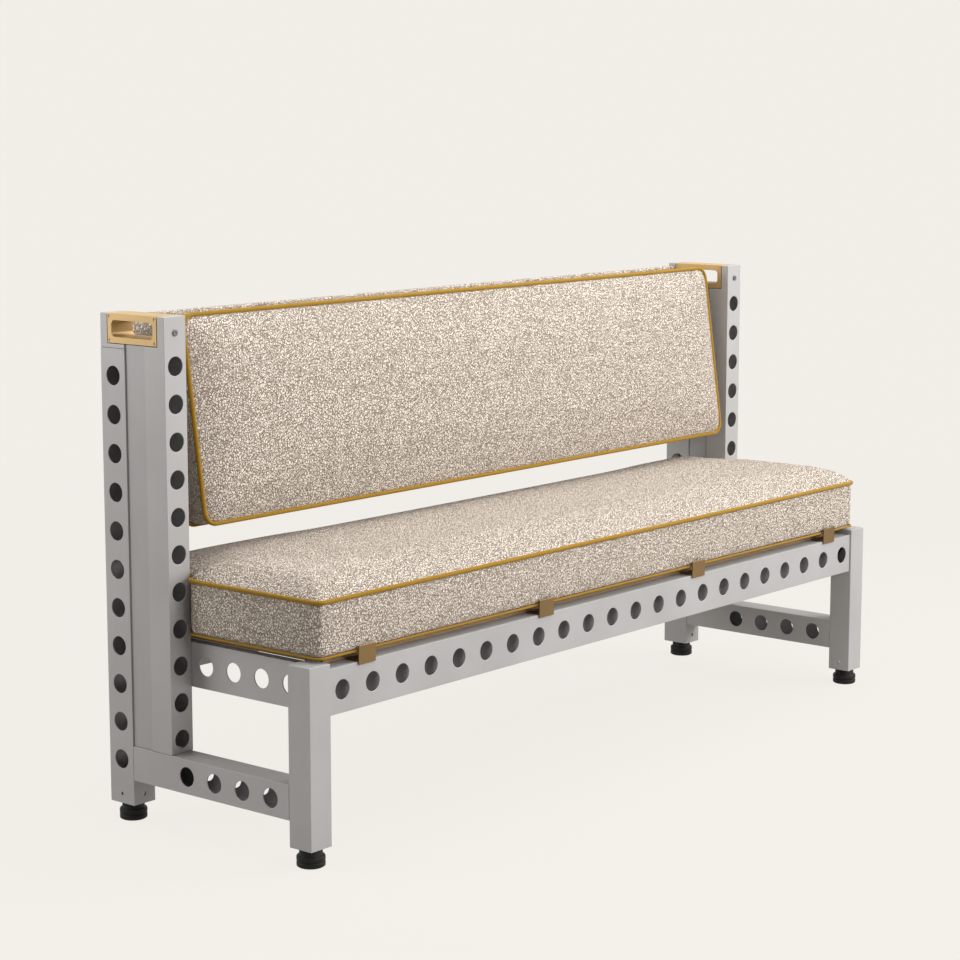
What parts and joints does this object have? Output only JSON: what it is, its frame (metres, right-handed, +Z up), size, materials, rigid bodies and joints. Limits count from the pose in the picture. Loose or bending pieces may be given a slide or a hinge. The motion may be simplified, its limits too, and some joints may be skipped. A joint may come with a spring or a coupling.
{
  "type": "upholstered bench",
  "caption": "Long upholstered bench with a leaning back cushion on a perforated aluminium frame with brass hand-grips and cushion clips.",
  "frame": {"origin": "on the floor under the middle of the bench", "axes": "+X along the bench to the right as seen from the front, +Y to the rear, +Z up"},
  "size_m": [1.74, 0.49, 0.9],
  "materials": {
    "aluminium": "satin, fine-grained",
    "brass": "satin brushed",
    "steel": "zinc plated",
    "black_plastic": "moulded",
    "boucle": "looped woven wool",
    "gold_piping": "woven cord cover",
    "plywood": "plain sanded"
  },
  "bodies": {
    "frame": {"left_front_leg": "aluminium", "right_front_leg": "aluminium", "left_rear_post": "aluminium", "right_rear_post": "aluminium", "left_post_head": "aluminium", "right_post_head": "aluminium", "left_infill": "aluminium", "right_infill": "aluminium", "left_back_post": "aluminium", "right_back_post": "aluminium", "left_back_post_screw": "steel", "right_back_post_screw": "steel", "left_hand_grip": "brass", "right_hand_grip": "brass", "left_stretcher": "aluminium", "right_stretcher": "aluminium", "left_seat_rail": "aluminium", "right_seat_rail": "aluminium", "left_front_foot_insert": "steel", "right_front_foot_insert": "steel", "left_rear_foot_insert": "steel", "right_rear_foot_insert": "steel", "front_rail": "aluminium", "rear_seat_rail": "aluminium", "upper_back_rail": "aluminium", "lower_back_rail": "aluminium", "rear_panel": "boucle", "left_deck_bearer": "aluminium", "right_deck_bearer": "aluminium", "seat_deck": "plywood", "cushion_clip_1": "brass", "cushion_clip_2": "brass", "cushion_clip_3": "brass", "cushion_clip_4": "brass"},
    "seat": {"seat_cushion": "boucle", "seat_lower_piping": "gold_piping", "seat_upper_piping": "gold_piping"},
    "back": {"back_cushion": "boucle", "back_rear_piping": "gold_piping", "back_front_piping": "gold_piping", "back_board": "plywood", "left_upper_hook": "steel", "right_upper_hook": "steel", "left_lower_hook": "steel", "right_lower_hook": "steel"},
    "left_front_foot": {"left_front_foot_pad": "black_plastic", "left_front_foot_stem": "steel"},
    "right_front_foot": {"right_front_foot_pad": "black_plastic", "right_front_foot_stem": "steel"},
    "left_rear_foot": {"left_rear_foot_pad": "black_plastic", "left_rear_foot_stem": "steel"},
    "right_rear_foot": {"right_rear_foot_pad": "black_plastic", "right_rear_foot_stem": "steel"}
  },
  "joints": [
    {"name": "seat_lift_off", "type": "slide", "parent": "frame", "child": "seat", "axis": [0, 0, 1], "range_m": [0, 0.04]},
    {"name": "back_lift_off", "type": "slide", "parent": "frame", "child": "back", "axis": [0, 0, 1], "range_m": [0, 0.05]},
    {"name": "left_front_foot_screw", "type": "slide", "parent": "frame", "child": "left_front_foot", "axis": [0, 0, -1], "range_m": [0, 0.012]},
    {"name": "right_front_foot_screw", "type": "slide", "parent": "frame", "child": "right_front_foot", "axis": [0, 0, -1], "range_m": [0, 0.012]},
    {"name": "left_rear_foot_screw", "type": "slide", "parent": "frame", "child": "left_rear_foot", "axis": [0, 0, -1], "range_m": [0, 0.012]},
    {"name": "right_rear_foot_screw", "type": "slide", "parent": "frame", "child": "right_rear_foot", "axis": [0, 0, -1], "range_m": [0, 0.012]}
  ]
}
